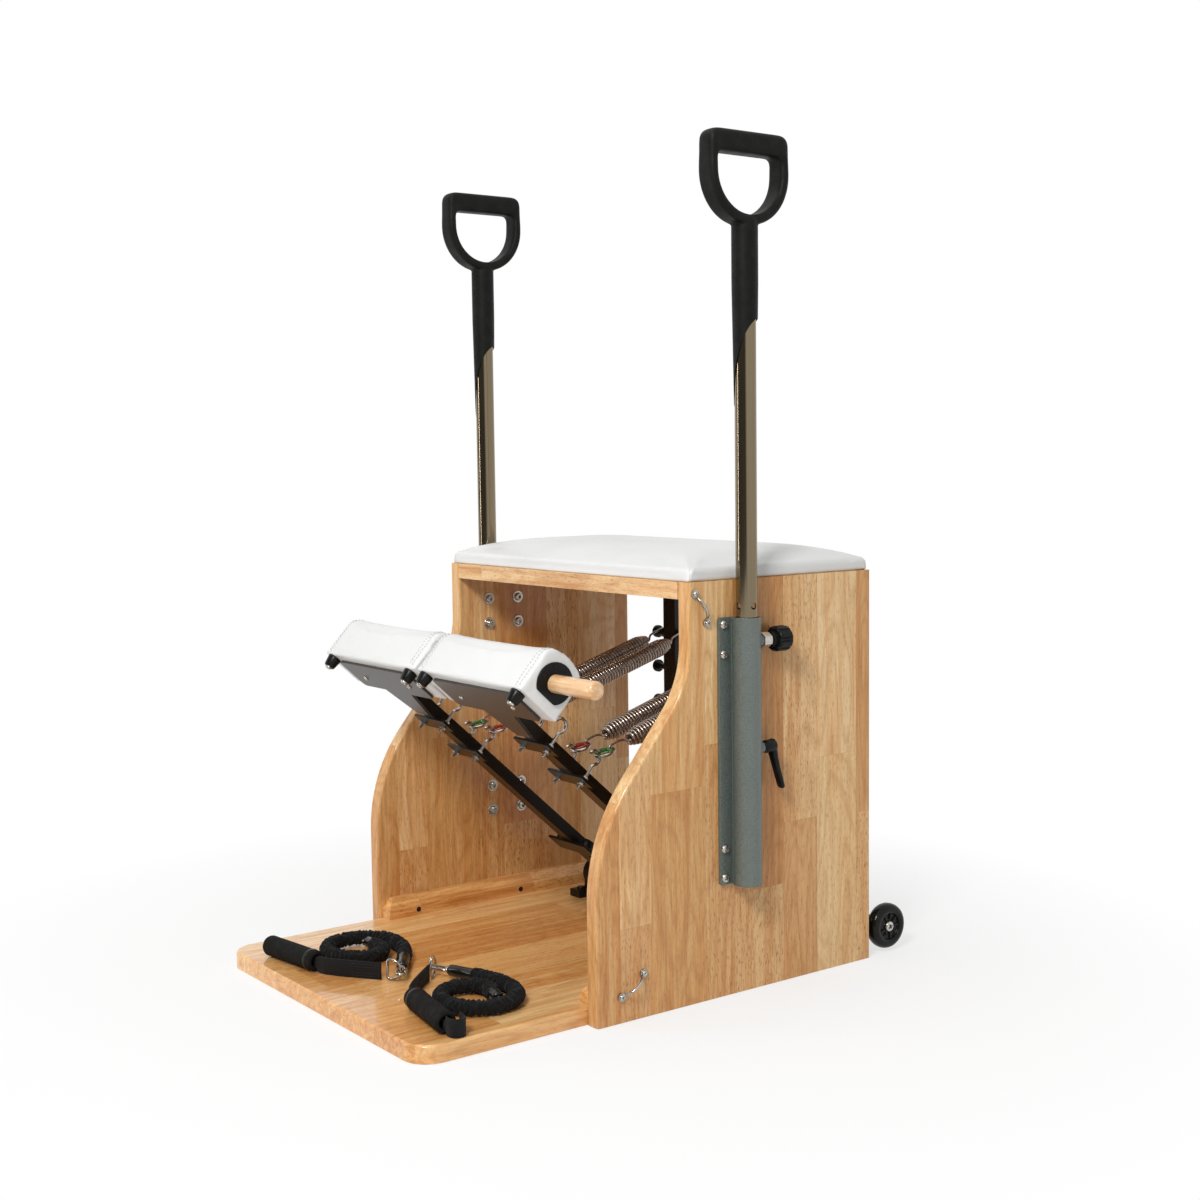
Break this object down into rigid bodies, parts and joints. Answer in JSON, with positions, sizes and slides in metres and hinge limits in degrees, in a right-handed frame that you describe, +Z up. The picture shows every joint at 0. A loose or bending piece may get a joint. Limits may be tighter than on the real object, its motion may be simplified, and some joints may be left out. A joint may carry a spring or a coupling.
{
  "type": "pilates chair",
  "caption": "Wooden pilates chair: padded box seat with sprung foot pedals, height-adjustable D-grip handles, transport wheels and exercise bands lying on its base.",
  "frame": {"origin": "centre of the base board's underside, on the floor", "axes": "+X to the right of someone seated facing forward from behind the pedals, +Y to the rear, +Z up; the pedals face -Y"},
  "size_m": [0.7115, 0.8505, 1.188],
  "materials": {
    "rubberwood": "finger-jointed rubberwood planks, clear gloss lacquer",
    "plywood": "raw plywood",
    "white_vinyl": "smooth white vinyl over foam, sewn seams",
    "black_steel": "black powder coat, satin",
    "chrome": "bright plated steel",
    "hammered_green": "grey-green hammered paint",
    "black_plastic": "black moulded plastic, fine grain",
    "black_rubber": "black moulded rubber",
    "wheel_black": "black polyurethane, glossy",
    "spring_nickel": "dark nickel-plated spring wire",
    "ring_red": "red ring on plated steel",
    "ring_green": "green ring on plated steel",
    "band_fabric": "black ruched elastic sleeve",
    "webbing": "black woven webbing",
    "foam_grip": "black closed-cell foam",
    "zinc": "bright zinc plated"
  },
  "bodies": {
    "frame": {"side_panel_left": "rubberwood", "side_panel_right": "rubberwood", "base_board": "rubberwood", "top_board": "rubberwood", "seat_plywood": "plywood", "seat_cushion": "white_vinyl", "base_cleats": "rubberwood", "spring_posts": "black_steel", "pivot_axle": "zinc", "pivot_blocks": "black_steel", "sleeve_left": "hammered_green", "sleeve_right": "hammered_green", "sleeve_bolts": "zinc", "eye_straps": "chrome", "frame_screws": "zinc", "wheel_brackets": "black_steel", "band_grips": "foam_grip", "band_straps": "webbing", "band_hooks": "chrome", "band_tubes": "band_fabric", "band_caps": "black_rubber"},
    "dowel": {"dowel": "rubberwood"},
    "pedal_left": {"pedal_arm_left": "black_steel", "pedal_plate_left": "black_steel", "pedal_pad_left": "white_vinyl", "pedal_feet_left": "black_rubber", "pedal_screws_left": "zinc", "spring_hooks_left": "chrome", "dowel_socket_left": "black_plastic", "ring_green_left": "ring_green", "ring_red_left": "ring_red"},
    "bush_left": {"guide_bush_left": "black_plastic"},
    "handle_left": {"handle_pole_left": "chrome", "handle_grip_left": "black_plastic"},
    "pull_pin_left": {"pull_knob_left": "black_plastic"},
    "clamp_left": {"clamp_lever_left": "black_plastic"},
    "transport_wheel_left": {"wheel_left": "wheel_black"},
    "spring_left_outer": {"spring_left_outer": "spring_nickel"},
    "spring_eye_left_outer": {"spring_eye_left_outer": "spring_nickel"},
    "spring_left_inner": {"spring_left_inner": "spring_nickel"},
    "spring_eye_left_inner": {"spring_eye_left_inner": "spring_nickel"},
    "pedal_right": {"pedal_arm_right": "black_steel", "pedal_plate_right": "black_steel", "pedal_pad_right": "white_vinyl", "pedal_feet_right": "black_rubber", "pedal_screws_right": "zinc", "spring_hooks_right": "chrome", "dowel_socket_right": "black_plastic", "ring_green_right": "ring_green", "ring_red_right": "ring_red"},
    "bush_right": {"guide_bush_right": "black_plastic"},
    "handle_right": {"handle_pole_right": "chrome", "handle_grip_right": "black_plastic"},
    "pull_pin_right": {"pull_knob_right": "black_plastic"},
    "clamp_right": {"clamp_lever_right": "black_plastic"},
    "transport_wheel_right": {"wheel_right": "wheel_black"},
    "spring_right_outer": {"spring_right_outer": "spring_nickel"},
    "spring_eye_right_outer": {"spring_eye_right_outer": "spring_nickel"},
    "spring_right_inner": {"spring_right_inner": "spring_nickel"},
    "spring_eye_right_inner": {"spring_eye_right_inner": "spring_nickel"}
  },
  "joints": [
    {"name": "pedal_press_left", "type": "hinge", "parent": "frame", "child": "pedal_left", "pos_m": [0, 0.245, 0.058], "axis": [1, 0, 0], "range_deg": [0, 38], "stiffness_Nm_per_rad": 40, "springref_deg": -34.38, "deforming": ["spring_left_outer", "spring_left_inner"]},
    {"name": "spring_swing_left_outer", "type": "hinge", "parent": "frame", "child": "spring_left_outer", "pos_m": [-0.166, 0.3725, 0.457], "axis": [1, 0, 0], "range_deg": [0, 15.83]},
    {"name": "spring_stretch_left_outer", "type": "slide", "parent": "spring_left_outer", "child": "spring_eye_left_outer", "axis": [0, -0.9542, -0.2992], "range_m": [0, 0.2031]},
    {"name": "spring_swing_left_inner", "type": "hinge", "parent": "frame", "child": "spring_left_inner", "pos_m": [-0.108, 0.3725, 0.457], "axis": [1, 0, 0], "range_deg": [0, 15.83]},
    {"name": "spring_stretch_left_inner", "type": "slide", "parent": "spring_left_inner", "child": "spring_eye_left_inner", "axis": [0, -0.9542, -0.2992], "range_m": [0, 0.2031]},
    {"name": "handle_turn_left", "type": "hinge", "parent": "frame", "child": "bush_left", "pos_m": [-0.3265, 0.123, 0.4], "axis": [0, 0, 1], "range_deg": [-90, 90]},
    {"name": "handle_height_left", "type": "slide", "parent": "bush_left", "child": "handle_left", "axis": [0, 0, 1], "range_m": [-0.05, 0.25]},
    {"name": "pin_pull_left", "type": "slide", "parent": "frame", "child": "pull_pin_left", "axis": [0, 1, 0], "range_m": [0, 0.008], "stiffness_N_per_m": 600, "springref_m": -0.004},
    {"name": "clamp_turn_left", "type": "hinge", "parent": "frame", "child": "clamp_left", "pos_m": [-0.3265, 0.16, 0.35], "axis": [0, 1, 0], "range_deg": [0, 150]},
    {"name": "wheel_spin_left", "type": "hinge", "parent": "frame", "child": "transport_wheel_left", "pos_m": [-0.293, 0.431, 0.0385], "axis": [1, 0, 0], "continuous": true},
    {"name": "pedal_press_right", "type": "hinge", "parent": "frame", "child": "pedal_right", "pos_m": [0, 0.245, 0.058], "axis": [1, 0, 0], "range_deg": [0, 38], "stiffness_Nm_per_rad": 40, "springref_deg": -34.38, "deforming": ["spring_right_outer", "spring_right_inner"]},
    {"name": "spring_swing_right_outer", "type": "hinge", "parent": "frame", "child": "spring_right_outer", "pos_m": [0.166, 0.3725, 0.457], "axis": [1, 0, 0], "range_deg": [0, 15.83]},
    {"name": "spring_stretch_right_outer", "type": "slide", "parent": "spring_right_outer", "child": "spring_eye_right_outer", "axis": [0, -0.9542, -0.2992], "range_m": [0, 0.2031]},
    {"name": "spring_swing_right_inner", "type": "hinge", "parent": "frame", "child": "spring_right_inner", "pos_m": [0.108, 0.3725, 0.457], "axis": [1, 0, 0], "range_deg": [0, 15.83]},
    {"name": "spring_stretch_right_inner", "type": "slide", "parent": "spring_right_inner", "child": "spring_eye_right_inner", "axis": [0, -0.9542, -0.2992], "range_m": [0, 0.2031]},
    {"name": "handle_turn_right", "type": "hinge", "parent": "frame", "child": "bush_right", "pos_m": [0.3265, 0.123, 0.4], "axis": [0, 0, 1], "range_deg": [-90, 90]},
    {"name": "handle_height_right", "type": "slide", "parent": "bush_right", "child": "handle_right", "axis": [0, 0, 1], "range_m": [-0.05, 0.25]},
    {"name": "pin_pull_right", "type": "slide", "parent": "frame", "child": "pull_pin_right", "axis": [0, 1, 0], "range_m": [0, 0.008], "stiffness_N_per_m": 600, "springref_m": -0.004},
    {"name": "clamp_turn_right", "type": "hinge", "parent": "frame", "child": "clamp_right", "pos_m": [0.3265, 0.16, 0.35], "axis": [0, -1, 0], "range_deg": [0, 150]},
    {"name": "wheel_spin_right", "type": "hinge", "parent": "frame", "child": "transport_wheel_right", "pos_m": [0.293, 0.431, 0.0385], "axis": [1, 0, 0], "continuous": true},
    {"name": "dowel_slide", "type": "slide", "parent": "pedal_right", "child": "dowel", "axis": [1, 0, 0], "range_m": [0, 0.25]}
  ],
  "couplings": [
    {"joint": "spring_swing_left_outer", "follows": "pedal_press_left", "ratio": 0.41521},
    {"joint": "spring_stretch_left_outer", "follows": "pedal_press_left", "m_per_rad": 0.30594},
    {"joint": "spring_swing_left_inner", "follows": "pedal_press_left", "ratio": 0.41521},
    {"joint": "spring_stretch_left_inner", "follows": "pedal_press_left", "m_per_rad": 0.30594},
    {"joint": "spring_swing_right_outer", "follows": "pedal_press_right", "ratio": 0.41521},
    {"joint": "spring_stretch_right_outer", "follows": "pedal_press_right", "m_per_rad": 0.30594},
    {"joint": "spring_swing_right_inner", "follows": "pedal_press_right", "ratio": 0.41521},
    {"joint": "spring_stretch_right_inner", "follows": "pedal_press_right", "m_per_rad": 0.30594}
  ]
}
